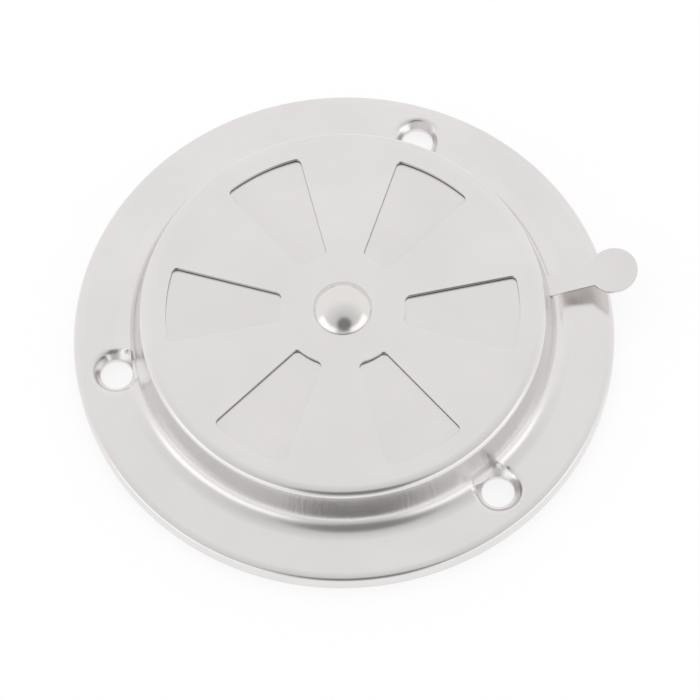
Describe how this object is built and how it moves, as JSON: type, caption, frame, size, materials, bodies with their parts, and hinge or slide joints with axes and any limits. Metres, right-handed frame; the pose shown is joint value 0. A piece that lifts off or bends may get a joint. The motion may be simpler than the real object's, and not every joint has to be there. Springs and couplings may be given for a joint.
{
  "type": "round ventilation grille",
  "caption": "Round sheet-metal ventilation grille with wedge-shaped openings and a lever that turns a shutter behind them.",
  "frame": {"origin": "centre of the mounting plane, where the back of the turned-down rim lies against the panel", "axes": "+Z out of the panel, through the rivet, +X along the lever when the shutter is closed"},
  "size_m": [0.1074, 0.102, 0.0154],
  "materials": {
    "cover_steel": "satin",
    "shutter_steel": "satin",
    "rivet_steel": "polished",
    "spring_steel": "satin",
    "washer_steel": "satin"
  },
  "bodies": {
    "grille": {"cover": "cover_steel", "rivet": "rivet_steel", "spring_washer": "spring_steel", "back_washer": "washer_steel"},
    "shutter": {"shutter": "shutter_steel"}
  },
  "joints": [
    {"name": "shutter_turn", "type": "hinge", "parent": "grille", "child": "shutter", "pos_m": [0, 0, 0.0113], "axis": [0, 0, 1], "range_deg": [0, 30]}
  ]
}
